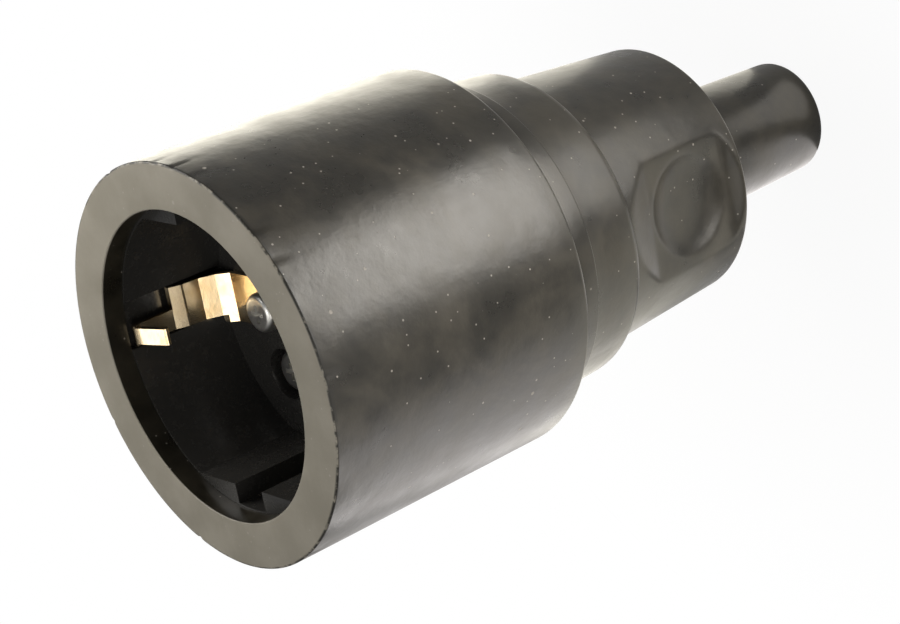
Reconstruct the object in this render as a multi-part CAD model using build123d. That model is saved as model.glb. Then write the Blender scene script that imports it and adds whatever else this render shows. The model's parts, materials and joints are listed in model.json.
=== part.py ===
from build123d import *
import math
import os

# In-line rubber socket for an earthed two-pin plug.
# It stands on the end of its cable sleeve: Z = 0 is that end, and the mouth faces up.
# The two pins lie along X and the two earth clips along Y. All sizes are in millimetres.

# Rubber housing, outside, from the cable end up
SLEEVE_LENGTH = 25.5
SLEEVE_END_RADIUS = 7.8
SLEEVE_ROOT_RADIUS = 8.6
SLEEVE_EDGE_FILLET = 1.0
GRIP_LENGTH = 23.0
GRIP_FRONT_RADIUS = 18.75
GRIP_REAR_RADIUS = 17.1
GRIP_RIM_FILLET = 0.5
FLAT_SINK = 1.9
FLAT_LENGTH = 14.6
FLAT_FRONT_RISE = 0.45
FLAT_REAR_RISE = 0.9
FLAT_CORNER_FILLET = 1.5
DIMPLE_RADIUS = 6.8
DIMPLE_DEPTH = 1.4
DIMPLE_FROM_RIM = 9.6
WAIST_LENGTH = 8.7
WAIST_STEP = 1.95
WAIST_TAPER = 0.5
WAIST_EDGE_FILLET = 1.6
BAND_LENGTH = 5.0
BAND_STEP = 0.5
BAND_EDGE_FILLET = 0.3
BARREL_LENGTH = 40.0
BARREL_TAPER = 0.5
BARREL_REAR_FILLET = 0.7
BARREL_FRONT_FILLET = 0.3
RIM_WIDTH = 5.95

# Rubber housing, inside
MOUTH_STEP = 0.25
MOUTH_EDGE_FILLET = 0.2
LIP_DEPTH = 3.0
CHAMBER_RADIUS = 16.0
CHAMBER_LENGTH = 9.0
THROAT_RADIUS = 12.0
THROAT_TAPER = 3.2
CABLE_BORE_RADIUS = 4.3
CABLE_FUNNEL_LENGTH = 4.5
REAR_WALL = 1.5
FIT = 0.1

# Well insert
WELL_RADIUS = 19.5
WELL_DEPTH = 14.7
WELL_WALL = 2.5
FLOOR_THICKNESS = 3.6
SHELF_WIDTH = 2.8
SHELF_SLOT_WIDTH = 5.5
PIN_SPACING = 19.0
PIN_HOLE_RADIUS = 2.6
PIN_HOLE_CHAMFER = 0.7
CHANNEL_DEPTH = 1.3
CHANNEL_MARGIN = 0.4

# Contact carrier
CARRIER_STEP = 3.6
CARRIER_BACK_MARGIN = 0.5
CLAMP_TONGUE_LENGTH = 8.6
CLAMP_TONGUE_WIDTH = 18.4
CLAMP_TONGUE_THICKNESS = 3.4
CLAMP_CABLE_RADIUS = 4.0
CLAMP_SCREW_SPACING = 12.4

# Pin contacts and their terminals
CONTACT_BORE_RADIUS = 2.4
CONTACT_WALL = 0.8
CONTACT_TUBE_LENGTH = 16.4
CONTACT_SLIT_WIDTH = 0.9
TERMINAL_WIDTH = 7.2
TERMINAL_LENGTH = 7.8
WIRE_HOLE_WIDTH = 4.0
WIRE_HOLE_DEPTH = 6.6
SPRING_THICKNESS = 0.5
SPRING_LENGTH = 5.0
SPRING_GAP = 3.0
SPRING_SETBACK = 3.0
LEAF_THICKNESS = 0.6

# Earth clips, bridge and terminal
CLIP_THICKNESS = 0.8
CLIP_HALF_WIDTH = 1.3
CLIP_SHOULDER_REACH = 4.2
CLIP_SHOULDER_DEPTH = 9.7
TONGUE_WIDTH = 2.1
TONGUE_REACH = 5.0
TONGUE_TIP_DEPTH = 5.3
TONGUE_ROOT_DEPTH = 3.7
STRIP_SINK = 0.1
CLIP_BOW = ((0.75, 1.7), (0.95, 4.1), (2.05, 6.2))
CLIP_FOOT_REACH = 3.85
CLIP_BEND_RADIUS = 0.5
EARTH_SCREW_RADIUS = 9.2
FOOT_SIDE_REACH = 2.3
FOOT_END_MARGIN = 3.1
BRIDGE_THICKNESS = 1.2
BRIDGE_WIDTH = 6.4
BRIDGE_BOSS_RADIUS = 2.6
BRIDGE_BOSS_HEIGHT = 3.0
EARTH_BLOCK_DEPTH = 6.4
EARTH_BLOCK_MARGIN = 4.8

# Fasteners
SCREW_SHANK_RADIUS = 1.5
SCREW_HEAD_RADIUS = 2.6
SCREW_HEAD_HEIGHT = 1.5
SCREW_RECESS_WIDTH = 0.6
SCREW_RECESS_REACH = 1.2
SCREW_RECESS_DEPTH = 0.9
NUT_WIDTH = 5.5
NUT_THICKNESS = 2.2
INSERT_SCREW_OFFSET = 8.8
INSERT_SCREW_LENGTH = 17.0
COUNTERBORE_RADIUS = 3.4
COUNTERBORE_DEPTH = 2.2
SCREW_PLAY = 0.15

# Heights and radii that follow from the sizes above
GRIP_Z = SLEEVE_LENGTH
WAIST_Z = GRIP_Z + GRIP_LENGTH
BAND_Z = WAIST_Z + WAIST_LENGTH
BARREL_Z = BAND_Z + BAND_LENGTH
MOUTH_Z = BARREL_Z + BARREL_LENGTH
WAIST_REAR_RADIUS = GRIP_FRONT_RADIUS + WAIST_STEP
WAIST_FRONT_RADIUS = WAIST_REAR_RADIUS + WAIST_TAPER
BAND_RADIUS = WAIST_FRONT_RADIUS + BAND_STEP
INSERT_FRONT_Z = MOUTH_Z - LIP_DEPTH
FLOOR_Z = INSERT_FRONT_Z - WELL_DEPTH
INSERT_BACK_Z = FLOOR_Z - FLOOR_THICKNESS
INSERT_RADIUS = WELL_RADIUS + WELL_WALL
MOUTH_RADIUS = WELL_RADIUS + MOUTH_STEP
BARREL_FRONT_RADIUS = MOUTH_RADIUS + RIM_WIDTH
BARREL_REAR_RADIUS = BARREL_FRONT_RADIUS - BARREL_TAPER
SHELF_DISTANCE = WELL_RADIUS - SHELF_WIDTH
STRIP_RADIUS = WELL_RADIUS + STRIP_SINK
TONGUE_TIP_RADIUS = STRIP_RADIUS - TONGUE_REACH
CARRIER_RADIUS = INSERT_RADIUS - CARRIER_STEP
EARTH_BLOCK_RADIUS = CARRIER_RADIUS - EARTH_BLOCK_MARGIN
PIN_X = PIN_SPACING / 2
CONTACT_TUBE_RADIUS = CONTACT_BORE_RADIUS + CONTACT_WALL
SPRING_RADIUS = CONTACT_TUBE_RADIUS + SPRING_THICKNESS
TERMINAL_FRONT_Z = INSERT_BACK_Z - CONTACT_TUBE_LENGTH
TERMINAL_BACK_Z = TERMINAL_FRONT_Z - TERMINAL_LENGTH
TERMINAL_SCREW_Z = TERMINAL_BACK_Z + WIRE_HOLE_DEPTH / 2
CARRIER_BACK_Z = TERMINAL_BACK_Z - CARRIER_BACK_MARGIN
EARTH_BLOCK_Y = -(EARTH_BLOCK_RADIUS - EARTH_BLOCK_DEPTH / 2)
CLAMP_SCREW_Z = CARRIER_BACK_Z - CLAMP_TONGUE_LENGTH / 2
CLAMP_SCREW_X = CLAMP_SCREW_SPACING / 2


def depth_level(depth):
    """Height of a point that lies this deep behind the plane of the mouth."""
    return MOUTH_Z - depth


def turned(*outline):
    """Solid of revolution about Z from curves drawn as (radius, height)."""
    return revolve(Plane.XZ * make_face(Curve() + list(outline)), Axis.Z)


def column(radius, low, high, x=0, y=0):
    """Upright round bar between two heights."""
    return Pos(x, y, (low + high) / 2) * Cylinder(radius, high - low)


def block(x_range, y_range, z_range):
    """Box given by its limits along each axis."""
    low, high = zip(x_range, y_range, z_range)
    size = [b - a for a, b in zip(low, high)]
    centre = [(a + b) / 2 for a, b in zip(low, high)]
    return Pos(*centre) * Box(*size)


def ring_edges(solid, radius, height):
    """Circular edges of the given radius at the given height."""
    return [
        edge
        for edge in solid.edges().filter_by(GeomType.CIRCLE)
        if abs(edge.radius - radius) < 1e-3 and abs(edge.arc_center.Z - height) < 1e-3
    ]


def housing_outside():
    """Stepped outer form with its rounded edges."""
    outline = Polyline(
        (0, 0),
        (SLEEVE_END_RADIUS, 0),
        (SLEEVE_ROOT_RADIUS, GRIP_Z),
        (GRIP_REAR_RADIUS, GRIP_Z),
        (GRIP_FRONT_RADIUS, WAIST_Z),
        (WAIST_REAR_RADIUS, WAIST_Z),
        (WAIST_FRONT_RADIUS, BAND_Z),
        (BAND_RADIUS, BAND_Z),
        (BAND_RADIUS, BARREL_Z),
        (BARREL_REAR_RADIUS, BARREL_Z),
        (BARREL_FRONT_RADIUS, MOUTH_Z),
        (0, MOUTH_Z),
        (0, 0),
    )
    solid = turned(outline)
    solid = fillet(ring_edges(solid, SLEEVE_END_RADIUS, 0), SLEEVE_EDGE_FILLET)
    solid = fillet(ring_edges(solid, GRIP_REAR_RADIUS, GRIP_Z), GRIP_RIM_FILLET)
    solid = fillet(ring_edges(solid, WAIST_REAR_RADIUS, WAIST_Z), WAIST_EDGE_FILLET)
    solid = fillet(ring_edges(solid, BAND_RADIUS, BAND_Z), BAND_EDGE_FILLET)
    solid = fillet(ring_edges(solid, BARREL_REAR_RADIUS, BARREL_Z), BARREL_REAR_FILLET)
    return fillet(ring_edges(solid, BARREL_FRONT_RADIUS, MOUTH_Z), BARREL_FRONT_FILLET)


def housing_cavity():
    """Mouth, pockets for insert and carrier, wiring chamber, throat and cable bore."""
    chamber_z = CARRIER_BACK_Z - CHAMBER_LENGTH
    throat_z = chamber_z - THROAT_TAPER
    funnel_z = GRIP_Z + REAR_WALL
    return turned(
        Polyline(
            (0, 0),
            (CABLE_BORE_RADIUS, 0),
            (CABLE_BORE_RADIUS, funnel_z),
            (THROAT_RADIUS, funnel_z + CABLE_FUNNEL_LENGTH),
            (THROAT_RADIUS, throat_z),
            (CHAMBER_RADIUS, chamber_z),
            (CHAMBER_RADIUS, CARRIER_BACK_Z),
            (CARRIER_RADIUS + FIT, CARRIER_BACK_Z),
            (CARRIER_RADIUS + FIT, INSERT_BACK_Z),
            (INSERT_RADIUS + FIT, INSERT_BACK_Z),
            (INSERT_RADIUS + FIT, INSERT_FRONT_Z),
            (MOUTH_RADIUS, INSERT_FRONT_Z),
            (MOUTH_RADIUS, MOUTH_Z),
            (0, MOUTH_Z),
            (0, 0),
        )
    )


def thumb_recess():
    """Tool that cuts one flat with its round dimple, on the -Y side of the grip.

    It is drawn with the flat in the plane y = 0 and the dimple's centre at the origin, then leaned to lie
    along the taper of the grip. Both ends of the flat rise in a slope to the round surface.
    """
    half = FLAT_LENGTH / 2
    reach = GRIP_FRONT_RADIUS
    section = FilletPolyline(
        (0, -half),
        (0, half),
        (-reach * FLAT_FRONT_RISE, half + reach),
        (-reach, -half - reach / FLAT_REAR_RISE),
        radius=FLAT_CORNER_FILLET,
        close=True,
    )
    prism = Pos(-reach, 0, 0) * extrude(Plane.YZ * make_face(section), 2 * reach, dir=(1, 0, 0))
    ball_radius = (DIMPLE_RADIUS**2 + DIMPLE_DEPTH**2) / (2 * DIMPLE_DEPTH)
    tool = prism + Pos(0, DIMPLE_DEPTH - ball_radius, 0) * Sphere(ball_radius)
    taper = (GRIP_FRONT_RADIUS - GRIP_REAR_RADIUS) / GRIP_LENGTH
    distance = GRIP_REAR_RADIUS + taper * DIMPLE_FROM_RIM - FLAT_SINK
    return Pos(0, -distance, GRIP_Z + DIMPLE_FROM_RIM) * Rot(math.degrees(math.atan(taper)), 0, 0) * tool


def rubber_housing():
    """The whole rubber moulding, in one piece."""
    recess = thumb_recess() & column(2 * GRIP_FRONT_RADIUS, GRIP_Z, WAIST_Z)
    solid = housing_outside() - recess - Rot(0, 0, 180) * recess - housing_cavity()
    return fillet(ring_edges(solid, MOUTH_RADIUS, MOUTH_Z), MOUTH_EDGE_FILLET)


def guide_shelves():
    """Four guide shelves: the round segments beside the pins, parted by a slot on each side."""
    well = column(WELL_RADIUS + WELL_WALL / 2, FLOOR_Z, INSERT_FRONT_Z)
    middle = block((-SHELF_DISTANCE, SHELF_DISTANCE), (-WELL_RADIUS * 2, WELL_RADIUS * 2), (FLOOR_Z, MOUTH_Z))
    half_slot = SHELF_SLOT_WIDTH / 2
    slot = block((-WELL_RADIUS * 2, WELL_RADIUS * 2), (-half_slot, half_slot), (FLOOR_Z, MOUTH_Z))
    return well - middle - slot


def clip_channel():
    """Channel in the +Y wall of the well that the earth strip lies in."""
    side = CLIP_HALF_WIDTH + CHANNEL_MARGIN
    shoulder_side = CLIP_SHOULDER_REACH + CHANNEL_MARGIN
    return block((-side, shoulder_side), (0, WELL_RADIUS + CHANNEL_DEPTH), (FLOOR_Z, INSERT_FRONT_Z))


def socket_insert():
    """Round well with floor, guide shelves, clip channels, pin holes and screw recesses."""
    solid = column(INSERT_RADIUS, INSERT_BACK_Z, INSERT_FRONT_Z)
    solid -= column(WELL_RADIUS, FLOOR_Z, INSERT_FRONT_Z)
    solid += guide_shelves()
    for turn in (0, 180):
        solid -= Rot(0, 0, turn) * clip_channel()
    for side in (-1, 1):
        solid -= column(PIN_HOLE_RADIUS, INSERT_BACK_Z, FLOOR_Z, side * PIN_X)
        bevel = Cone(PIN_HOLE_RADIUS, PIN_HOLE_RADIUS + PIN_HOLE_CHAMFER, PIN_HOLE_CHAMFER)
        solid -= Pos(side * PIN_X, 0, FLOOR_Z - PIN_HOLE_CHAMFER / 2) * bevel
        hole = SCREW_SHANK_RADIUS + SCREW_PLAY
        solid -= column(hole, INSERT_BACK_Z, FLOOR_Z, 0, side * EARTH_SCREW_RADIUS)
        offset_x = -side * INSERT_SCREW_OFFSET
        offset_y = side * INSERT_SCREW_OFFSET
        solid -= column(hole, INSERT_BACK_Z, FLOOR_Z, offset_x, offset_y)
        solid -= column(COUNTERBORE_RADIUS, FLOOR_Z - COUNTERBORE_DEPTH, FLOOR_Z, offset_x, offset_y)
    return solid


def screw(length):
    """Pan-head screw with a cross recess, head up, the underside of its head at the origin."""
    head = Pos(0, 0, SCREW_HEAD_HEIGHT / 2) * Cylinder(SCREW_HEAD_RADIUS, SCREW_HEAD_HEIGHT)
    head = fillet(ring_edges(head, SCREW_HEAD_RADIUS, SCREW_HEAD_HEIGHT), SCREW_HEAD_HEIGHT / 2)
    shank = Pos(0, 0, -length / 2) * Cylinder(SCREW_SHANK_RADIUS, length)
    recess_z = SCREW_HEAD_HEIGHT - SCREW_RECESS_DEPTH / 2
    bar = Pos(0, 0, recess_z) * Box(2 * SCREW_RECESS_REACH, SCREW_RECESS_WIDTH, SCREW_RECESS_DEPTH)
    return head + shank - bar - Rot(0, 0, 90) * bar


def square_nut():
    """Square nut centred on the origin, bored along Z."""
    return Box(NUT_WIDTH, NUT_WIDTH, NUT_THICKNESS) - Cylinder(SCREW_SHANK_RADIUS + FIT, NUT_THICKNESS)


def group(solids):
    """Separate like solids as one shape."""
    return Compound(children=list(solids))


def clip_profile():
    """Edge view of the strip: contact tongue, bowed run down the wall, and foot on the floor."""
    half = CLIP_THICKNESS / 2
    strip = STRIP_RADIUS
    foot_z = FLOOR_Z + half
    foot_end = EARTH_SCREW_RADIUS - FOOT_END_MARGIN
    bow = [(strip - inward, depth_level(CLIP_SHOULDER_DEPTH + down)) for inward, down in CLIP_BOW]
    path = FilletPolyline(
        (TONGUE_TIP_RADIUS, depth_level(TONGUE_TIP_DEPTH)),
        (strip, depth_level(TONGUE_ROOT_DEPTH)),
        (strip, depth_level(CLIP_SHOULDER_DEPTH)),
        *bow,
        (strip - CLIP_FOOT_REACH, foot_z),
        (foot_end, foot_z),
        radius=CLIP_BEND_RADIUS,
    )
    return make_face(offset(path, amount=half, side=Side.BOTH, closed=True))


def earth_clip():
    """Bent brass strip on the +Y side: a narrow tongue, a shoulder to +X below it, and a wide foot."""
    width = FOOT_SIDE_REACH + CLIP_SHOULDER_REACH
    profile = Plane.YZ * clip_profile()
    solid = Pos(-FOOT_SIDE_REACH, 0, 0) * extrude(profile, width, dir=(1, 0, 0))
    shoulder_z = depth_level(CLIP_SHOULDER_DEPTH)
    foot_top = FLOOR_Z + 2 * CLIP_THICKNESS
    solid -= block((CLIP_HALF_WIDTH, 2 * width), (0, 2 * WELL_RADIUS), (shoulder_z, MOUTH_Z))
    solid -= block((-2 * width, -CLIP_HALF_WIDTH), (0, 2 * WELL_RADIUS), (foot_top, MOUTH_Z))
    tongue_back = STRIP_RADIUS - CLIP_THICKNESS
    for side in (-1, 1):
        x_range = sorted((side * TONGUE_WIDTH / 2, side * 2 * width))
        solid -= block(x_range, (0, tongue_back), (shoulder_z, MOUTH_Z))
    hole = column(SCREW_SHANK_RADIUS + SCREW_PLAY, FLOOR_Z, foot_top, 0, EARTH_SCREW_RADIUS)
    return solid - hole


def earth_clip_screws():
    """One screw for each strip, down through the floor into the bridge."""
    z = FLOOR_Z + CLIP_THICKNESS
    length = z - INSERT_BACK_Z + BRIDGE_THICKNESS + BRIDGE_BOSS_HEIGHT
    return group(Pos(0, side * EARTH_SCREW_RADIUS, z) * screw(length) for side in (-1, 1))


def bridge_tail_range():
    """Limits along Y of the bridge's tail, which lies against the earth terminal."""
    return (-EARTH_BLOCK_RADIUS - BRIDGE_THICKNESS, -EARTH_BLOCK_RADIUS)


def earth_bridge():
    """Strip behind the well floor with two threaded bosses and a tail bent back."""
    half = BRIDGE_WIDTH / 2
    top = INSERT_BACK_Z
    tail = bridge_tail_range()
    front_end = EARTH_SCREW_RADIUS + BRIDGE_BOSS_RADIUS
    solid = block((-half, half), (tail[0], front_end), (top - BRIDGE_THICKNESS, top))
    solid += block((-half, half), tail, (TERMINAL_BACK_Z, top))
    low = top - BRIDGE_THICKNESS - BRIDGE_BOSS_HEIGHT
    for side in (-1, 1):
        solid += column(BRIDGE_BOSS_RADIUS, low, top, 0, side * EARTH_SCREW_RADIUS)
        solid -= column(SCREW_SHANK_RADIUS + FIT, low, top, 0, side * EARTH_SCREW_RADIUS)
    hole = Cylinder(SCREW_SHANK_RADIUS + SCREW_PLAY, 4 * BRIDGE_THICKNESS)
    return solid - Pos(0, tail[0], TERMINAL_SCREW_Z) * Rot(90, 0, 0) * hole


def terminal_block(depth):
    """Block with a square wire hole from below and a screw hole in its -Y face, centred in X and Y."""
    half = TERMINAL_WIDTH / 2
    solid = block((-half, half), (-depth / 2, depth / 2), (TERMINAL_BACK_Z, TERMINAL_FRONT_Z))
    hole = WIRE_HOLE_WIDTH / 2
    hole_top = TERMINAL_BACK_Z + WIRE_HOLE_DEPTH
    solid -= block((-hole, hole), (-hole, hole), (TERMINAL_BACK_Z, hole_top))
    bore = Rot(90, 0, 0) * Cylinder(SCREW_SHANK_RADIUS + FIT, depth / 2)
    return solid - Pos(0, -depth * 0.4, TERMINAL_SCREW_Z) * bore


def pin_contact():
    """Split tube for a pin, open at the well, with its terminal block at the back."""
    tube = column(CONTACT_TUBE_RADIUS, TERMINAL_FRONT_Z, INSERT_BACK_Z)
    solid = tube + terminal_block(TERMINAL_WIDTH)
    solid -= column(CONTACT_BORE_RADIUS, TERMINAL_FRONT_Z, INSERT_BACK_Z)
    slit = CONTACT_SLIT_WIDTH / 2
    reach = 2 * CONTACT_TUBE_RADIUS
    slit_low = TERMINAL_FRONT_Z + CONTACT_WALL
    return solid - block((-reach, reach), (-slit, slit), (slit_low, INSERT_BACK_Z))


def contact_spring():
    """Open steel ring that presses the split tube on the pin."""
    top = INSERT_BACK_Z - SPRING_SETBACK
    low = top - SPRING_LENGTH
    solid = column(SPRING_RADIUS, low, top) - column(CONTACT_TUBE_RADIUS, low, top)
    return solid - block((0, 2 * SPRING_RADIUS), (-SPRING_GAP / 2, SPRING_GAP / 2), (low, top))


def terminal_screw_heads():
    """Where the underside of each terminal screw's head sits, as (x, y)."""
    pin_head = -(TERMINAL_WIDTH / 2 + SCREW_HEAD_HEIGHT / 2)
    earth_head = bridge_tail_range()[0]
    return ((-PIN_X, pin_head), (PIN_X, pin_head), (0, earth_head))


def terminal_screw_length(head_y, centre_y):
    """Length from under the head to the leaf in the wire hole."""
    return centre_y - WIRE_HOLE_WIDTH / 2 + LEAF_THICKNESS - head_y


def terminal_screws():
    """Three screws that point in from -Y and press the leaves on the wires."""
    solids = []
    for x, head_y in terminal_screw_heads():
        centre_y = 0 if x else EARTH_BLOCK_Y
        length = terminal_screw_length(head_y, centre_y)
        solids.append(Pos(x, head_y, TERMINAL_SCREW_Z) * Rot(90, 0, 0) * screw(length))
    return group(solids)


def wire_clamp_leaves():
    """Three leaves, each at the tip of its terminal screw in the wire hole."""
    half_width = WIRE_HOLE_WIDTH / 2 - FIT
    solids = []
    for x, head_y in terminal_screw_heads():
        centre_y = 0 if x else EARTH_BLOCK_Y
        tip_y = head_y + terminal_screw_length(head_y, centre_y)
        low = TERMINAL_BACK_Z + FIT
        high = TERMINAL_BACK_Z + WIRE_HOLE_DEPTH - FIT
        leaf = block((-half_width, half_width), (tip_y, tip_y + LEAF_THICKNESS), (low, high))
        solids.append(Pos(x, 0, 0) * leaf)
    return group(solids)


def earth_terminal():
    """Brass block for the earth wire, against the tail of the bridge."""
    return Pos(0, EARTH_BLOCK_Y, 0) * terminal_block(EARTH_BLOCK_DEPTH)


def insert_screw_places():
    """Centres of the two insert screws, which lie across a diagonal."""
    return ((-INSERT_SCREW_OFFSET, INSERT_SCREW_OFFSET), (INSERT_SCREW_OFFSET, -INSERT_SCREW_OFFSET))


def insert_screws():
    """Two long screws from the well floor into the carrier."""
    z = FLOOR_Z - COUNTERBORE_DEPTH
    return group(Pos(x, y, z) * screw(INSERT_SCREW_LENGTH) for x, y in insert_screw_places())


def insert_nut_z():
    """Height of the middle of the insert nuts, one thickness above the screws' tips."""
    return FLOOR_Z - COUNTERBORE_DEPTH - INSERT_SCREW_LENGTH + 1.5 * NUT_THICKNESS


def insert_nuts():
    """Square nuts in the side pockets of the carrier."""
    turn = Rot(0, 0, 45)
    return group(Pos(x, y, insert_nut_z()) * turn * square_nut() for x, y in insert_screw_places())


def terminal_pocket(x, depth, y):
    """Room for a terminal block, open at the back, with a way in for its screw from -Y."""
    half = TERMINAL_WIDTH / 2 + FIT
    room = block((-half, half), (-depth / 2 - FIT, depth / 2 + FIT), (CARRIER_BACK_Z, TERMINAL_FRONT_Z))
    way_radius = SCREW_HEAD_RADIUS + 2 * SCREW_PLAY
    reach = CARRIER_RADIUS
    way = Pos(0, -reach / 2 - depth / 2, TERMINAL_SCREW_Z) * Rot(90, 0, 0) * Cylinder(way_radius, reach)
    return Pos(x, y, 0) * (room + way)


def clamp_tongue():
    """Saddle that the cord lies on, behind the carrier, on the +Y side of the cord."""
    half = CLAMP_TONGUE_WIDTH / 2
    y_low = CLAMP_CABLE_RADIUS * 0.5
    y_high = CLAMP_CABLE_RADIUS + CLAMP_TONGUE_THICKNESS
    low = CARRIER_BACK_Z - CLAMP_TONGUE_LENGTH
    solid = block((-half, half), (y_low, y_high), (low, CARRIER_BACK_Z))
    solid -= column(CLAMP_CABLE_RADIUS, low, CARRIER_BACK_Z)
    for side in (-1, 1):
        bore = Pos(side * CLAMP_SCREW_X, y_high, CLAMP_SCREW_Z) * Rot(90, 0, 0)
        solid -= bore * Cylinder(SCREW_SHANK_RADIUS + SCREW_PLAY, 4 * CLAMP_TONGUE_THICKNESS)
        pocket = NUT_WIDTH + 2 * FIT
        solid -= bore * Box(pocket, pocket, 2 * NUT_THICKNESS)
    return solid


def contact_carrier():
    """Moulding behind the well with chambers for contacts, earth parts, nuts and the cord saddle."""
    solid = column(CARRIER_RADIUS, CARRIER_BACK_Z, INSERT_BACK_Z)
    for side in (-1, 1):
        x = side * PIN_X
        solid -= column(SPRING_RADIUS + FIT, TERMINAL_FRONT_Z, INSERT_BACK_Z, x)
        solid -= terminal_pocket(x, TERMINAL_WIDTH, 0)
        boss_low = INSERT_BACK_Z - BRIDGE_THICKNESS - BRIDGE_BOSS_HEIGHT - 2 * FIT
        solid -= column(BRIDGE_BOSS_RADIUS + FIT, boss_low, INSERT_BACK_Z, 0, side * EARTH_SCREW_RADIUS)
    solid -= terminal_pocket(0, EARTH_BLOCK_DEPTH, EARTH_BLOCK_Y)
    half = BRIDGE_WIDTH / 2 + FIT
    tail = bridge_tail_range()
    front_end = EARTH_SCREW_RADIUS + BRIDGE_BOSS_RADIUS + FIT
    groove_low = INSERT_BACK_Z - BRIDGE_THICKNESS
    solid -= block((-half, half), (tail[0] - FIT, front_end), (groove_low, INSERT_BACK_Z))
    solid -= block((-half, half), (tail[0] - FIT, tail[1] + FIT), (CARRIER_BACK_Z, INSERT_BACK_Z))
    nut_pocket = Box(2 * CARRIER_RADIUS, NUT_WIDTH + 2 * FIT, NUT_THICKNESS + FIT)
    nut_shift = CARRIER_RADIUS - NUT_WIDTH / 2 - FIT
    for x, y in insert_screw_places():
        low = insert_nut_z() - 2 * NUT_THICKNESS
        solid -= column(SCREW_SHANK_RADIUS + SCREW_PLAY, low, INSERT_BACK_Z, x, y)
        outward = -45 if x > 0 else 135
        pocket_place = Pos(x, y, insert_nut_z()) * Rot(0, 0, outward)
        solid -= pocket_place * Pos(nut_shift, 0, -FIT / 2) * nut_pocket
    return solid + clamp_tongue()


def cord_clamp_bar():
    """Bar with a hollow for the cord, screwed towards the saddle from -Y."""
    half = CLAMP_TONGUE_WIDTH / 2
    y_low = -CLAMP_CABLE_RADIUS - CLAMP_TONGUE_THICKNESS / 2
    y_high = -CLAMP_CABLE_RADIUS * 0.5
    z_half = NUT_WIDTH / 2
    solid = block((-half, half), (y_low, y_high), (CLAMP_SCREW_Z - z_half, CLAMP_SCREW_Z + z_half))
    solid -= column(CLAMP_CABLE_RADIUS, CLAMP_SCREW_Z - z_half, CLAMP_SCREW_Z + z_half)
    for side in (-1, 1):
        bore = Pos(side * CLAMP_SCREW_X, y_low, CLAMP_SCREW_Z) * Rot(90, 0, 0)
        solid -= bore * Cylinder(SCREW_SHANK_RADIUS + SCREW_PLAY, 4 * CLAMP_TONGUE_THICKNESS)
    return solid


def cord_clamp_screws():
    """Two screws through the bar into the nuts of the saddle."""
    y = -CLAMP_CABLE_RADIUS - CLAMP_TONGUE_THICKNESS / 2
    length = CLAMP_CABLE_RADIUS + CLAMP_TONGUE_THICKNESS - y
    turn = Rot(90, 0, 0)
    return group(
        Pos(side * CLAMP_SCREW_X, y, CLAMP_SCREW_Z) * turn * screw(length) for side in (-1, 1)
    )


def cord_clamp_nuts():
    """Two nuts seated in the back of the saddle."""
    y = CLAMP_CABLE_RADIUS + CLAMP_TONGUE_THICKNESS - NUT_THICKNESS / 2
    turn = Rot(90, 0, 0)
    return group(Pos(side * CLAMP_SCREW_X, y, CLAMP_SCREW_Z) * turn * square_nut() for side in (-1, 1))


def all_parts():
    """Every sub-part by its name."""
    half_turn = Rot(0, 0, 180)
    contact = pin_contact()
    spring = contact_spring()
    clip = earth_clip()
    return {
        "rubber_housing": rubber_housing(),
        "socket_insert": socket_insert(),
        "contact_carrier": contact_carrier(),
        "line_contact": Pos(-PIN_X, 0, 0) * contact,
        "neutral_contact": Pos(PIN_X, 0, 0) * contact,
        "line_contact_spring": Pos(-PIN_X, 0, 0) * spring,
        "neutral_contact_spring": Pos(PIN_X, 0, 0) * spring,
        "terminal_screws": terminal_screws(),
        "wire_clamp_leaves": wire_clamp_leaves(),
        "earth_clip_back": clip,
        "earth_clip_front": half_turn * clip,
        "earth_clip_screws": earth_clip_screws(),
        "earth_bridge": earth_bridge(),
        "earth_terminal": earth_terminal(),
        "insert_screws": insert_screws(),
        "insert_nuts": insert_nuts(),
        "cord_clamp_bar": cord_clamp_bar(),
        "cord_clamp_screws": cord_clamp_screws(),
        "cord_clamp_nuts": cord_clamp_nuts(),
    }


os.makedirs("parts", exist_ok=True)
for node, shape in all_parts().items():
    export_step(shape, f"parts/{node}.step")
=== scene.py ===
import json
import math

import bpy
import numpy as np
from mathutils import Matrix, Vector


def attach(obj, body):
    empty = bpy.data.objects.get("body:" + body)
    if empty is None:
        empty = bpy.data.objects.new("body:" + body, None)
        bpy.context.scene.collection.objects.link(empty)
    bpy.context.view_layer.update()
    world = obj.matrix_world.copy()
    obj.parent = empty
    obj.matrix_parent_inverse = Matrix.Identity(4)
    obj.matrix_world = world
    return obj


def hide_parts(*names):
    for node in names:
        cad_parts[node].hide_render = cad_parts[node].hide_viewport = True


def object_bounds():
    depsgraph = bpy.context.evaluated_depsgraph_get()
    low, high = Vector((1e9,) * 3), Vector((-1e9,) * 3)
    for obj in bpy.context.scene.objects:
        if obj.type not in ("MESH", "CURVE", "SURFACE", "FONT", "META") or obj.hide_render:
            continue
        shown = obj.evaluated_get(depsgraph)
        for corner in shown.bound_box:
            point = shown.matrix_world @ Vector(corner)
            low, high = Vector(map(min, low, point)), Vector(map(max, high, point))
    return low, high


bl_info = {
    "name": "Rubber Cable Socket",
    "version": (1, 0, 0),
    "blender": (4, 5, 0),
    "location": "View3D > Sidebar > Cable Socket",
    "description": "Builds the looks of an in-line rubber power socket around its packed frame",
    "category": "Object",
}

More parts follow.
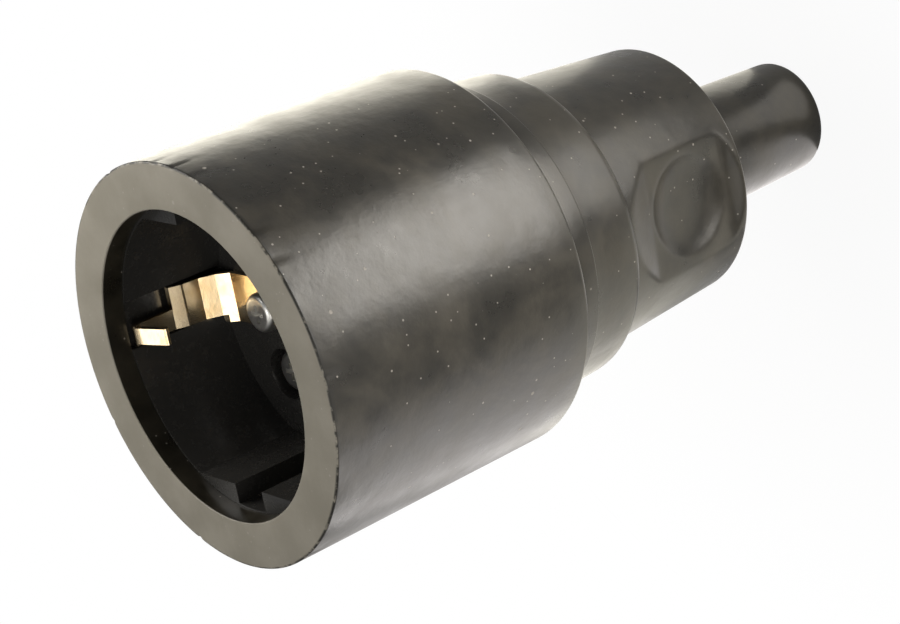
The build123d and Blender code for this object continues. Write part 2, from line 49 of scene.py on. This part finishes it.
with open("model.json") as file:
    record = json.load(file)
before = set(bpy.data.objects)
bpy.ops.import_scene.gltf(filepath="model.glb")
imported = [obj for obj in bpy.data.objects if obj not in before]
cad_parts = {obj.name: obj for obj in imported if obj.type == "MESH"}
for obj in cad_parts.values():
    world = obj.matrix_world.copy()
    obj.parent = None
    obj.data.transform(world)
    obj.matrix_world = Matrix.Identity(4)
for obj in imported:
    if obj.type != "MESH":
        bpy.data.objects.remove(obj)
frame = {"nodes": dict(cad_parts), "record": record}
CAD_LOW, CAD_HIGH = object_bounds()
MM = 0.001
BODY = "root"


# Numbers and shapes

def smooth_min(a, b, width):
    """Rounded smaller value: half of the sum less the root of difference squared plus width squared."""
    return 0.5 * (a + b - np.sqrt((a - b) ** 2 + width**2))


def smooth_max(a, b, width):
    """Rounded larger value: half of the sum plus the root of difference squared plus width squared."""
    return 0.5 * (a + b + np.sqrt((a - b) ** 2 + width**2))


def hump(value, centre, width):
    """Bell curve: e to minus the square of the distance from the centre over the width."""
    return np.exp(-(((value - centre) / width) ** 2))


def turned_apart(angle, centre):
    """Signed difference between two angles, wrapped to half a turn each way."""
    return (angle - centre + np.pi) % (2 * np.pi) - np.pi


def rounded_outline(corners, steps=6):
    """Closed outline through corners given as (across, along, fillet radius).

    Each corner becomes an arc tangent to its two sides. With unit vectors u and v from the corner to
    its neighbours and half the angle between them h, the arc starts radius / tan(h) down each side,
    and its centre lies radius / sin(h) out along u + v. The arc's points turn evenly from the first
    to the last.
    """
    data = np.asarray(corners, float)
    place, radius = data[:, :2], data[:, 2:]
    back = np.roll(place, 1, 0) - place
    ahead = np.roll(place, -1, 0) - place
    back /= np.linalg.norm(back, axis=1, keepdims=True)
    ahead /= np.linalg.norm(ahead, axis=1, keepdims=True)
    half = np.arccos(np.clip((back * ahead).sum(1, keepdims=True), -1, 1)) / 2
    middle = back + ahead
    middle /= np.maximum(np.linalg.norm(middle, axis=1, keepdims=True), 1e-9)
    centre = place + middle * radius / np.sin(half)
    first = place + back * radius / np.tan(half) - centre
    last = place + ahead * radius / np.tan(half) - centre
    share = np.linspace(0, 1, steps).reshape(1, steps, 1)
    span = np.maximum(np.pi - 2 * half, 1e-6)[:, None, :]
    arcs = first[:, None, :] * np.sin((1 - share) * span) + last[:, None, :] * np.sin(share * span)
    return (centre[:, None, :] + arcs / np.sin(span)).reshape(-1, 2)


def refined(outline, step_at):
    """Closed outline with points added, so that no side is longer than step_at(its middle)."""
    ahead = np.roll(outline, -1, 0)
    length = np.linalg.norm(ahead - outline, axis=1)
    count = np.maximum(1, np.ceil(length / step_at((outline + ahead) / 2))).astype(int)
    start = np.repeat(np.arange(len(outline)), count)
    before = np.repeat(np.cumsum(count) - count, count)
    share = ((np.arange(count.sum()) - before) / np.repeat(count, count))[:, None]
    return outline[start] * (1 - share) + ahead[start] * share


def grid_faces(rows, columns, close_rows):
    """Corner indices of the quads of a grid of points.

    The last column joins the first, and the last row joins the first where close_rows is set.
    """
    row = np.arange(rows if close_rows else rows - 1)[:, None]
    column = np.arange(columns)[None, :]
    here, beyond = row * columns, (row + 1) % rows * columns
    beside = (column + 1) % columns
    corners = [here + column, here + beside, beyond + beside, beyond + column]
    return np.stack(corners, -1).reshape(-1, 4)


def make_piece(name, points, faces, finish, replaced):
    """Mesh object from points in millimetres and quads, riding on the body in place of a node."""
    mesh = bpy.data.meshes.new(name)
    places = points.reshape(-1, 3) * MM
    mesh.vertices.add(len(places))
    mesh.vertices.foreach_set("co", places.ravel())
    mesh.loops.add(faces.size)
    mesh.loops.foreach_set("vertex_index", faces.ravel().astype(np.int32))
    mesh.polygons.add(len(faces))
    starts = np.arange(0, faces.size, faces.shape[1], dtype=np.int32)
    mesh.polygons.foreach_set("loop_start", starts)
    mesh.polygons.foreach_set("use_smooth", np.ones(len(faces), bool))
    mesh.update(calc_edges=True)
    mesh.validate()
    mesh.materials.append(finish)
    piece = bpy.data.objects.new(name, mesh)
    bpy.context.scene.collection.objects.link(piece)
    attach(piece, BODY)
    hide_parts(replaced)


# Materials

# Share of a speck's size out to which it is solid
SPECK_CORE = 0.6


class Field:
    """A value that varies over a surface. Arithmetic on it adds Math nodes to its finish."""

    def __init__(self, finish, socket):
        self.finish = finish
        self.socket = socket

    def maths(self, operation, first, second):
        return self.finish.add("ShaderNodeMath", {"operation": operation}, {0: first, 1: second})

    def __add__(self, other):
        return self.maths("ADD", self, other)

    def __radd__(self, other):
        return self.maths("ADD", other, self)

    def __sub__(self, other):
        return self.maths("SUBTRACT", self, other)

    def __rsub__(self, other):
        return self.maths("SUBTRACT", other, self)

    def __mul__(self, other):
        return self.maths("MULTIPLY", self, other)

    def __rmul__(self, other):
        return self.maths("MULTIPLY", other, self)

    def __gt__(self, other):
        return self.maths("GREATER_THAN", self, other)

    def __lt__(self, other):
        return self.maths("LESS_THAN", self, other)


class Finish:
    """A procedural material on Object coordinates, with one method that adds any node."""

    def __init__(self, name):
        self.material = bpy.data.materials.new(name)
        self.material.use_nodes = True
        self.nodes = self.material.node_tree.nodes
        self.links = self.material.node_tree.links
        self.shader = self.nodes["Principled BSDF"]
        self.place = self.add("ShaderNodeTexCoord", {}, {}, "Object")

    def feed(self, socket, value):
        """Links a field to a socket, or sets the socket's own value."""
        if isinstance(value, Field):
            self.links.new(value.socket, socket)
        else:
            socket.default_value = value

    def add(self, kind, settings, inputs, output=0):
        """Adds a node, sets its settings and feeds its sockets, and returns one of its outputs."""
        node = self.nodes.new(kind)
        for key, value in settings.items():
            setattr(node, key, value)
        for key, value in inputs.items():
            self.feed(node.inputs[key], value)
        return Field(self, node.outputs[output])

    def noise(self, scale, detail, roughness, distortion=0.0):
        """Soft random field from 0 to 1, with the scale in features a metre."""
        inputs = {"Vector": self.place, "Scale": scale, "Detail": detail}
        inputs.update({"Roughness": roughness, "Distortion": distortion})
        return self.add("ShaderNodeTexNoise", {}, inputs, "Fac")

    def ramp(self, value, low, high, from_value=0.0, to_value=1.0):
        """Smooth step of a field between two levels."""
        settings = {"interpolation_type": "SMOOTHSTEP", "clamp": True}
        inputs = {"Value": value, "From Min": low, "From Max": high}
        inputs.update({"To Min": from_value, "To Max": to_value})
        return self.add("ShaderNodeMapRange", settings, inputs)

    def mix(self, share, first, second):
        """Colour between two colours, which the Mix node takes at 6 and 7 and gives at 2."""
        settings = {"data_type": "RGBA", "blend_type": "MIX"}
        return self.add("ShaderNodeMix", settings, {0: share, 6: first, 7: second}, 2)

    def axis(self, name):
        """One coordinate of the place on the surface, in metres."""
        return self.add("ShaderNodeSeparateXYZ", {}, {0: self.place}, name)

    def specks(self, scale, size, share):
        """Mask of small dots with soft edges, in that share of the cells of a random pattern."""
        settings = {"feature": "F1"}
        cells = {"Vector": self.place, "Scale": scale}
        away = self.add("ShaderNodeTexVoronoi", settings, cells, "Distance")
        chance = self.add("ShaderNodeTexVoronoi", settings, cells, "Color")
        chance = self.add("ShaderNodeSeparateColor", {}, {0: chance}, "Red")
        return self.ramp(away, SPECK_CORE * size, size, 1.0, 0.0) * (chance < share)

    def bump(self, height, strength, distance):
        """Small relief from a height field, fed to the shader's normal."""
        inputs = {"Height": height, "Strength": strength, "Distance": distance}
        self.feed(self.shader.inputs["Normal"], self.add("ShaderNodeBump", {}, inputs, "Normal"))

    def set(self, **values):
        """Feeds the shader's sockets by name, with underscores for spaces."""
        for key, value in values.items():
            self.feed(self.shader.inputs[key.replace("_", " ")], value)


def colour(rgb):
    """Shader colour from three numbers."""
    return (*rgb, 1.0)


def rubber_finish(look, size):
    """Dark satin moulded rubber with blotches, smears, dust and fine grain.

    The mouth's top face is painted paler than the rubber, as painted light for the light that falls on
    it, in random paler patches, down to a thin dark ring at its edge that chips break up.
    """
    finish = Finish("moulded_rubber")
    top, edge = size.mouth_height, size.barrel_radius
    height = finish.axis("Z")
    across = finish.axis("X")
    along = finish.axis("Y")
    reach = across * across + along * along
    blotches = finish.noise(160, 5, 0.6)
    smears = finish.noise(45, 4, 0.6, 1.5)
    grain = finish.noise(2600, 2, 0.6)
    swell = finish.noise(380, 3, 0.55)
    chips = finish.noise(700, 3, 0.6)
    # Mask of the mouth's top face, where the colour is painted light and the rubber is rougher
    face = finish.ramp(height, top - 0.2 * MM, top - 0.1 * MM)
    # The painted light stops short of the outer edge, where a thin ring keeps the dark rubber colour,
    # broken by chips
    ring = finish.ramp(reach, (edge - 0.4 * MM) ** 2, (edge - 0.1 * MM) ** 2)
    ring = ring * finish.ramp(height, top - 0.7 * MM, top - 0.4 * MM)
    ring = ring * finish.ramp(chips, 0.35, 0.5)
    base = finish.mix(finish.ramp(blotches, 0.35, 0.7), colour(look.dark), colour(look.worn))
    base = finish.mix(finish.ramp(smears, 0.5, 0.75, 0.0, 0.5), base, colour(look.smear))
    patches = finish.ramp(blotches, 0.3, 0.75)
    # Painted light: the top face's pale colour stands in for the light falling on it, in random paler
    # patches
    painted_light_face_colour = finish.mix(patches, colour(look.face), colour(look.painted_light_face_worn))
    base = finish.mix(face, base, painted_light_face_colour)
    base = finish.mix(ring, base, colour(look.dark))
    dust = finish.specks(420, 0.08, 0.35) + finish.specks(170, 0.055, 0.6)
    dust = dust + finish.specks(900, 0.13, 0.25)
    base = finish.mix(dust * 0.5, base, colour(look.dust))
    rough = look.roughness + 0.3 * (blotches - 0.5) + 0.15 * (smears - 0.5) + 0.2 * face
    finish.set(Base_Color=base, Roughness=rough + 0.3 * dust, IOR=1.5)
    finish.bump(grain * 0.12 + swell * 1.1, 0.35, 0.14 * MM)
    return finish.material


def gloss_black_finish():
    """Hard glossy black moulding with faint unevenness."""
    finish = Finish("gloss_black_moulding")
    black = colour((0.03, 0.029, 0.027))
    scuffed = colour((0.045, 0.042, 0.038))
    swell = finish.noise(220, 2, 0.5)
    scuffs = finish.noise(700, 5, 0.7)
    base = finish.mix(finish.ramp(scuffs, 0.55, 0.8), black, scuffed)
    rough = 0.2 + 0.16 * finish.ramp(scuffs, 0.4, 0.75)
    finish.set(Base_Color=base, Roughness=rough, IOR=1.5)
    finish.bump(swell, 0.15, 0.2 * MM)
    return finish.material


def plain_black_finish():
    """Plain black moulding of the inner carrier."""
    finish = Finish("plain_black_moulding")
    black = colour((0.018, 0.018, 0.018))
    greyer = colour((0.03, 0.03, 0.029))
    grain = finish.noise(1500, 3, 0.6)
    finish.set(Base_Color=finish.mix(grain, black, greyer), Roughness=0.5 + 0.15 * grain)
    finish.bump(grain, 0.2, 0.1 * MM)
    return finish.material


def metal_finish(name, bright, dull, roughness, scale):
    """Metal whose colour and gloss vary in soft patches, with fine drawn lines."""
    finish = Finish(name)
    patches = finish.noise(scale, 3, 0.55)
    lines = finish.noise(scale * 9, 2, 0.5, 0.4)
    base = finish.mix(finish.ramp(patches, 0.4, 0.75), colour(bright), colour(dull))
    finish.set(Base_Color=base, Metallic=1.0, Roughness=roughness + 0.15 * (patches - 0.4))
    finish.bump(lines, 0.1, 0.05 * MM)
    return finish.material


# Sizes and looks that a user may change

def length(name, about, size):
    """Property that holds a length in metres."""
    return bpy.props.FloatProperty(name=name, description=about, default=size, unit="LENGTH")


def tint(name, about, rgb):
    """Property that holds a colour."""
    return bpy.props.FloatVectorProperty(
        name=name, description=about, default=rgb, subtype="COLOR"
    )


class HousingSizes(bpy.types.PropertyGroup):
    """Sizes of the rubber housing, from the cable end up."""

    sleeve_length: length("Sleeve length", "Cable sleeve", 0.0255)
    sleeve_end: length("Sleeve end radius", "At its free end", 0.0078)
    sleeve_root: length("Sleeve root radius", "Where it meets the grip", 0.0086)
    grip_top: length("Grip top height", "Height of the waist's step", 0.0485)
    grip_front: length("Grip front radius", "At the waist's step", 0.01875)
    grip_rear: length("Grip rear radius", "At the rim round the sleeve", 0.0171)
    flat_sink: length("Flat sink", "Depth of the thumb flats below the round grip", 0.0019)
    flat_length: length("Flat length", "Level part of the thumb flats", 0.0146)
    dimple_radius: length("Dimple radius", "Round hollow in each flat", 0.0068)
    dimple_depth: length("Dimple depth", "Round hollow in each flat", 0.0014)
    dimple_height: length("Dimple height", "Height of its centre", 0.0351)
    barrel_radius: length("Barrel radius", "At the mouth", CAD_HIGH.x)
    barrel_taper: length("Barrel taper", "Loss of radius from the mouth to the band", 0.0005)
    mouth_height: length("Mouth height", "Plane of the mouth", CAD_HIGH.z)


class RubberLook(bpy.types.PropertyGroup):
    """Colours and gloss of the rubber."""

    dark: tint("Dark", "Dark rubber", (0.011, 0.0097, 0.0066))
    worn: tint("Worn", "Worn rubber", (0.027, 0.0232, 0.0155))
    smear: tint("Smear", "Pale smears", (0.056, 0.049, 0.036))
    # Painted light: the top face's two colours are paler than the rubber, for the light that falls on
    # the mouth's face
    face: tint("Face", "Cut face of the mouth", (0.222, 0.205, 0.165))
    painted_light_face_worn: tint("Worn face", "Paler patches of the cut face", (0.278, 0.257, 0.212))
    dust: tint("Dust", "Dust specks", (0.42, 0.39, 0.35))
    roughness: bpy.props.FloatProperty(
        name="Roughness", description="Satin of the rubber", default=0.32, subtype="FACTOR"
    )


# Sizes of the housing's wall that stay, in millimetres, with heights from the cable end
WAIST_REAR_RADIUS = 20.7
WAIST_FRONT_RADIUS = 21.2
BAND_RADIUS = 21.7
BAND_HEIGHT = 57.2
BARREL_HEIGHT = 62.2
LIP_RADIUS = 19.75
LIP_DEPTH = 3.0
INSERT_ROOM_RADIUS = 22.1
INSERT_BACK_HEIGHT = 80.9
CARRIER_ROOM_RADIUS = 18.5
CARRIER_BACK_HEIGHT = 56.2
CHAMBER_RADIUS = 16.0
CHAMBER_HEIGHT = 47.2
THROAT_RADIUS = 12.0
THROAT_TOP = 44.0
THROAT_FOOT = 31.5
CABLE_BORE_RADIUS = 4.3
CABLE_BORE_TOP = 27.0

# Fillets in the wall's inside, in millimetres
CRISP = 0.05
SOFT = 0.2

# Points round the housing, and the longest sides of its outline on the grip and elsewhere
COLUMNS = 360
GRIP_STEP = 0.3
PLAIN_STEP = 3.0

# Radii that part the outside of the wall from its inside, at the grip and at the barrel
GRIP_INSIDE = 16.2
BARREL_INSIDE = 25.0

# Rise of the thumb flats for each unit of height past their level part, and its soft start
WAIST_RISE = 0.37
WAIST_RISE_BLEND = 0.4
REAR_RISE = 0.9
REAR_RISE_BLEND = 0.8

# Widths over which the flats' and the dimple's edges are rounded
FLAT_BLEND = 0.2
DIMPLE_BLEND = 0.15

# Rounds that settle the dimple, and the least sine that the flats are divided by
DIMPLE_ROUNDS = 3
LEAST_SINE = 0.2

# Distance of the flats from the grip's two ends
REAR_MARGIN = 0.1
WAIST_MARGIN = 0.2

# Uneven loss left by trimming at the mouth's edge
TRIM_DEPTH = 0.1
TRIM_BELOW = 0.45
TRIM_WIDTH = 0.14

# Nicks in the mouth's edge, as (angle in degrees, depth), and their form in radians and millimetres
NICKS = (
    (-8.0, 0.3),
    (0.5, 0.22),
    (24.5, 0.35),
    (-16.5, 0.15),
    (-42.0, 0.25),
    (-51.5, 0.2),
    (-83.0, 0.25),
    (115.0, 0.2),
    (160.0, 0.3),
    (214.0, 0.2),
)
NICK_TURN = 0.012
NICK_BELOW = 0.1
NICK_WIDTH = 0.25


# Pieces

class SOCKET_OT_housing(bpy.types.Operator):
    """Rubber housing as one closed surface.

    Its outline is turned about the axis, and then pressed in at the thumb flats.
    """

    bl_idname = "socket.housing"
    bl_label = "Rubber Housing"

    def execute(self, context):
        size = context.scene.socket_housing
        outline = self.outline(size)
        angle = np.linspace(0, 2 * np.pi, COLUMNS, endpoint=False)
        radius = np.repeat(outline[:, :1], COLUMNS, 1)
        height = np.repeat(outline[:, 1:], COLUMNS, 1)
        radius = self.with_flats(size, radius, height, angle)
        radius = self.with_trimmed_edge(size, radius, height, angle)
        points = np.stack([radius * np.cos(angle), radius * np.sin(angle), height], -1)
        faces = grid_faces(len(outline), COLUMNS, True)
        finish = rubber_finish(context.scene.socket_rubber, size)
        make_piece("rubber_shell", points, faces, finish, "rubber_housing")
        return {"FINISHED"}

    def outline(self, size):
        """Section of the wall in millimetres, from the bore's edge round the outside and back.

        Its corners are (radius, height, fillet radius).
        """
        rear, waist = size.sleeve_length / MM, size.grip_top / MM
        front, top = size.barrel_radius / MM, size.mouth_height / MM
        lip = top - LIP_DEPTH
        corners = [
            (CABLE_BORE_RADIUS, 0, 0.4),
            (size.sleeve_end / MM, 0, 1.0),
            (size.sleeve_root / MM, rear, 0.3),
            (size.grip_rear / MM, rear, 0.5),
            (size.grip_front / MM, waist, 0.25),
            (WAIST_REAR_RADIUS, waist, 1.6),
            (WAIST_FRONT_RADIUS, BAND_HEIGHT, 0.1),
            (BAND_RADIUS, BAND_HEIGHT, 0.3),
            (BAND_RADIUS, BARREL_HEIGHT, 0.12),
            (front - size.barrel_taper / MM, BARREL_HEIGHT, 0.7),
            (front, top, 0.3),
            (LIP_RADIUS, top, SOFT),
            (LIP_RADIUS, lip, CRISP),
            (INSERT_ROOM_RADIUS, lip, CRISP),
            (INSERT_ROOM_RADIUS, INSERT_BACK_HEIGHT, CRISP),
            (CARRIER_ROOM_RADIUS, INSERT_BACK_HEIGHT, CRISP),
            (CARRIER_ROOM_RADIUS, CARRIER_BACK_HEIGHT, CRISP),
            (CHAMBER_RADIUS, CARRIER_BACK_HEIGHT, CRISP),
            (CHAMBER_RADIUS, CHAMBER_HEIGHT, SOFT),
            (THROAT_RADIUS, THROAT_TOP, SOFT),
            (THROAT_RADIUS, THROAT_FOOT, SOFT),
            (CABLE_BORE_RADIUS, CABLE_BORE_TOP, SOFT),
        ]

        def step_at(middle):
            across, along = middle.T
            on_grip = (across > GRIP_INSIDE) & (along > rear) & (along < waist - WAIST_MARGIN)
            return np.where(on_grip, GRIP_STEP, PLAIN_STEP)

        return refined(rounded_outline(corners), step_at)

    def with_flats(self, size, radius, height, angle):
        """Radius cut back to two flats at distance d: the rounded smaller of it and d / |sin(angle)|.

        d follows the grip's taper at a constant sink, and rises evenly past both ends of the level
        part. The dimple is a dish with a rounded rim: its depth times one minus the third power of
        the distance from its centre over its radius. Rounds settle it, because that distance
        depends on the radius.
        """
        taper = (size.grip_front - size.grip_rear) / (size.grip_top - size.sleeve_length)
        start = size.grip_rear + taper * (size.dimple_height - size.sleeve_length)
        above = height - size.dimple_height / MM
        half = size.flat_length / MM / 2
        rise = WAIST_RISE * smooth_max(above - half, 0.0, WAIST_RISE_BLEND)
        rise = rise + REAR_RISE * smooth_max(-half - above, 0.0, REAR_RISE_BLEND)
        distance = (start - size.flat_sink) / MM + taper * above + rise
        sine = np.maximum(np.abs(np.sin(angle)), LEAST_SINE)
        limit = distance / sine
        for _ in range(DIMPLE_ROUNDS):
            away = np.hypot(limit * np.cos(angle), above) / (size.dimple_radius / MM)
            dish = size.dimple_depth / MM * (1 - away**3)
            limit = (distance - smooth_max(dish, 0, DIMPLE_BLEND)) / sine
        low = size.sleeve_length / MM + REAR_MARGIN
        high = size.grip_top / MM - WAIST_MARGIN
        on_grip = (radius > GRIP_INSIDE) & (height > low) & (height < high)
        return np.where(on_grip, smooth_min(radius, limit, FLAT_BLEND), radius)

    def with_trimmed_edge(self, size, radius, height, angle):
        """Radius less a faint uneven loss at the mouth's edge, as trimming leaves, and a few nicks.

        Both are humps over the depth below the mouth. The loss varies round the edge as two sine
        waves, and each nick is a narrow hump over the angle as well.
        """
        below = size.mouth_height / MM - height
        uneven = 0.6 + 0.25 * np.sin(7 * angle + 1) + 0.25 * np.sin(23 * angle + 2)
        loss = TRIM_DEPTH * uneven * hump(below, TRIM_BELOW, TRIM_WIDTH)
        for place, depth in NICKS:
            spread = hump(turned_apart(angle, np.radians(place)), 0, NICK_TURN)
            loss = loss + depth * spread * hump(below, NICK_BELOW, NICK_WIDTH)
        return np.where(radius > BARREL_INSIDE, radius - loss, radius)


class SOCKET_OT_frame_finishes(bpy.types.Operator):
    """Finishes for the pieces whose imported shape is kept."""

    bl_idname = "socket.frame_finishes"
    bl_label = "Kept Pieces"

    def execute(self, context):
        finishes = {
            "insert": gloss_black_finish(),
            "carrier": plain_black_finish(),
            "contact_brass": metal_finish(
                "contact_brass", (0.72, 0.52, 0.24), (0.5, 0.34, 0.15), 0.3, 300
            ),
            "clip_brass": metal_finish(
                "clip_brass", (0.88, 0.72, 0.48), (0.72, 0.52, 0.28), 0.18, 220
            ),
            "screw_steel": metal_finish(
                "plated_steel", (0.84, 0.83, 0.8), (0.66, 0.65, 0.62), 0.32, 500
            ),
            "spring_steel": metal_finish(
                "spring_steel", (0.55, 0.55, 0.56), (0.4, 0.4, 0.41), 0.35, 500
            ),
        }
        slots = {part["node"]: part["material_slot"] for part in frame["record"]["subparts"]}
        for name, node in frame["nodes"].items():
            if slots[name] in finishes:
                node.data.materials.clear()
                node.data.materials.append(finishes[slots[name]])
        return {"FINISHED"}


# Stage

# Rings and spokes of the round floor, and its distances and height in metres
FLOOR_RINGS = 24
FLOOR_SPOKES = 64
FLOOR_CENTRE = 0.0005
FLOOR_NEAR = 0.02
FLOOR_FAR = 6
FLOOR_HEIGHT = -0.00002

# Share of white that the floor shows in glossy reflections
FLOOR_GLOSS = 0.11

# Height of the lamps that lie on the floor
LAMP_HEIGHT = 0.0005


def add_camera():
    """Camera of the photograph. Its place and turn were fitted to the mouth's rims and outline."""
    data = bpy.data.cameras.new("photo_camera")
    data.sensor_width = 36.0
    data.lens = 103.52
    data.clip_start = 0.01
    data.clip_end = 50
    camera = bpy.data.objects.new("photo_camera", data)
    place = Vector((0.09673, -0.24996, 0.25298))
    right = Vector((-0.179917, -0.639230, -0.747670))
    up = Vector((0.932535, 0.131059, -0.336460))
    back = Vector((0.313067, -0.757764, 0.572524))
    turn = Matrix((right, up, back)).transposed()
    camera.matrix_world = Matrix.Translation(place) @ turn.to_4x4()
    bpy.context.scene.collection.objects.link(camera)
    bpy.context.scene.camera = camera


def add_lamp(name, place, turn, size, radiance, light):
    """Soft rectangular lamp that the camera doesn't see. Its power is pi times area times radiance."""
    data = bpy.data.lights.new(name, "AREA")
    data.shape = "RECTANGLE"
    data.size, data.size_y = size
    data.energy = math.pi * size[0] * size[1] * radiance
    data.color = light
    lamp = bpy.data.objects.new(name, data)
    lamp.matrix_world = Matrix.Translation(place) @ turn
    lamp.visible_camera = False
    bpy.context.scene.collection.objects.link(lamp)


class SOCKET_OT_stage(bpy.types.Operator):
    """Pale floor, world, soft lamps and the camera."""

    bl_idname = "socket.stage"
    bl_label = "Stage"

    def execute(self, context):
        scene = context.scene
        scene.view_settings.view_transform = "Standard"
        self.add_floor()
        self.add_world(scene)
        self.add_lamps()
        add_camera()
        return {"FINISHED"}

    def add_floor(self):
        """Round floor just below z = 0: a grid over distance and angle."""
        rings = np.geomspace(FLOOR_NEAR, FLOOR_FAR, FLOOR_RINGS)
        distance = np.concatenate([[FLOOR_CENTRE], rings])[:, None]
        angle = np.linspace(0, 2 * np.pi, FLOOR_SPOKES, endpoint=False)
        height = np.full((len(distance), FLOOR_SPOKES), FLOOR_HEIGHT)
        points = np.stack([distance * np.cos(angle), distance * np.sin(angle), height], -1)
        faces = grid_faces(len(distance), FLOOR_SPOKES, False)[:, ::-1]
        mesh = bpy.data.meshes.new("studio_floor")
        mesh.from_pydata(points.reshape(-1, 3), [], faces)
        mesh.materials.append(self.floor_finish())
        floor = bpy.data.objects.new("studio_floor", mesh)
        bpy.context.scene.collection.objects.link(floor)

    def floor_finish(self):
        """Pale grey floor that the camera sees as white, apart from the shadow by the object."""
        finish = Finish("studio_floor")
        finish.set(Base_Color=colour((0.8, 0.8, 0.8)), Roughness=0.9)
        ray = "ShaderNodeLightPath"
        camera_ray = finish.add(ray, {}, {}, "Is Camera Ray")
        glossy_ray = finish.add(ray, {}, {}, "Is Glossy Ray")
        clear_ray = finish.add(ray, {}, {}, "Is Transmission Ray")
        settings = {"operation": "LENGTH"}
        distance = finish.add("ShaderNodeVectorMath", settings, {0: finish.place}, "Value")
        seen_white = finish.ramp(distance, 0.01, 0.09, 0.93, 1.0)
        share = camera_ray * seen_white + glossy_ray * FLOOR_GLOSS + clear_ray
        glow = {"Color": colour((1, 1, 1)), "Strength": 1.0}
        white = finish.add("ShaderNodeEmission", {}, glow)
        plain = Field(finish, finish.shader.outputs[0])
        mixed = finish.add("ShaderNodeMixShader", {}, {0: share, 1: plain, 2: white})
        finish.feed(finish.nodes["Material Output"].inputs["Surface"], mixed)
        return finish.material

    def add_world(self, scene):
        """Even pale surroundings, white to the camera."""
        world = bpy.data.worlds.new("studio")
        scene.world = world
        world.use_nodes = True
        tree = world.node_tree
        plain = tree.nodes["Background"]
        plain.inputs["Color"].default_value = colour((0.97, 0.98, 1.0))
        plain.inputs["Strength"].default_value = 0.2
        white = tree.nodes.new("ShaderNodeBackground")
        white.inputs["Strength"].default_value = 1.0
        ray = tree.nodes.new("ShaderNodeLightPath")
        mixed = tree.nodes.new("ShaderNodeMixShader")
        tree.links.new(ray.outputs["Is Camera Ray"], mixed.inputs[0])
        tree.links.new(plain.outputs[0], mixed.inputs[1])
        tree.links.new(white.outputs[0], mixed.inputs[2])
        tree.links.new(mixed.outputs[0], tree.nodes["World Output"].inputs["Surface"])

    def add_lamps(self):
        """Lamps flat on the floor, which the upright sides mirror, and aimed lamps round the object.

        A flat lamp has its angle round the axis in degrees, its near and far distance and its width.
        """
        warm, plain, rosy = (1.0, 0.95, 0.8), (1.0, 0.955, 0.88), (1.0, 0.955, 0.93)
        soft = (1.0, 0.97, 0.92)
        face_up = Matrix.Rotation(math.pi, 4, "X")
        for name, angle, near, far, width, radiance, light in (
            ("key", -54.5, 0.095, 0.185, 0.10, 10.0, plain),
            ("key_far", -72.0, 0.15, 0.2, 0.035, 9.0, plain),
            ("key_foot", -54.5, 0.048, 0.095, 0.05, 3.0, plain),
            ("key_toe", -54.5, 0.009, 0.028, 0.011, 1.3, plain),
            ("flat_side", -112.0, 0.035, 0.07, 0.035, 1.1, warm),
            ("flat_foot", -118.0, 0.018, 0.034, 0.02, 0.9, plain),
            ("flat_far", -112.0, 0.2, 0.6, 0.4, 0.9, plain),
            ("table_far", 195.0, 0.13, 0.2, 0.17, 2.5, rosy),
            ("table_side", 195.0, 0.085, 0.13, 0.16, 1.7, rosy),
            ("table_near", 195.0, 0.045, 0.085, 0.14, 1.3, warm),
            ("table_foot", 195.0, 0.006, 0.028, 0.03, 2.0, rosy),
            ("table_back", 140.0, 0.05, 0.2, 0.10, 0.7, rosy),
            ("backdrop_side", 80.0, 0.06, 0.2, 0.15, 3.4, warm),
            ("backdrop_near", 72.0, 0.042, 0.06, 0.08, 1.8, warm),
            ("backdrop_foot", 60.0, 0.008, 0.024, 0.03, 1.5, warm),
        ):
            round_axis = math.radians(angle)
            middle = (near + far) / 2
            place = (middle * math.cos(round_axis), middle * math.sin(round_axis), LAMP_HEIGHT)
            turn = Matrix.Rotation(round_axis, 4, "Z") @ face_up
            add_lamp(name, place, turn, (far - near, width), radiance, light)
        for name, place, aim, size, radiance in (
            ("face_side", (0.061, 0.0728, 0.155), (0, 0, 0.102), (0.07, 0.07), 6.8),
            ("dimple_side", (0.18, -0.47, 0.05), (0, 0, 0.035), (0.22, 0.12), 7.0),
            ("screw_top", (-0.02, -0.08, 0.75), (0, 0.0165, 0.086), (0.16, 0.16), 6.0),
            ("side_low", (-0.185, -0.55, 0.25), (0, 0, 0.09), (0.3, 0.15), 0.6),
            ("side_high", (-0.2, -0.53, 0.46), (0, 0, 0.04), (0.3, 0.18), 5.0),
            ("clip_side", (-0.176, -0.16, 0.63), (0, 0.0165, 0.086), (0.16, 0.16), 3.4),
            ("clip_back", (-0.157, 0.159, 0.551), (0, 0.017, 0.098), (0.12, 0.12), 3.5),
        ):
            direction = Vector(aim) - Vector(place)
            turn = direction.to_track_quat("-Z", "Y").to_matrix().to_4x4()
            add_lamp(name, place, turn, size, radiance, soft)


class SOCKET_PT_panel(bpy.types.Panel):
    """Buttons for the pieces and the stage."""

    bl_idname = "SOCKET_PT_panel"
    bl_label = "Cable Socket"
    bl_space_type = "VIEW_3D"
    bl_region_type = "UI"
    bl_category = "Cable Socket"

    def draw(self, context):
        for operator in OPERATORS:
            self.layout.operator(operator.bl_idname)


OPERATORS = (SOCKET_OT_housing, SOCKET_OT_frame_finishes, SOCKET_OT_stage)
CLASSES = (HousingSizes, RubberLook, *OPERATORS, SOCKET_PT_panel)


def register():
    for item in CLASSES:
        bpy.utils.register_class(item)
    bpy.types.Scene.socket_housing = bpy.props.PointerProperty(type=HousingSizes)
    bpy.types.Scene.socket_rubber = bpy.props.PointerProperty(type=RubberLook)


def unregister():
    del bpy.types.Scene.socket_rubber
    del bpy.types.Scene.socket_housing
    for item in reversed(CLASSES):
        bpy.utils.unregister_class(item)


def main():
    """Builds every piece in order."""
    register()
    bpy.ops.socket.housing()
    bpy.ops.socket.frame_finishes()
    bpy.ops.socket.stage()


if __name__ == "__main__":
    main()
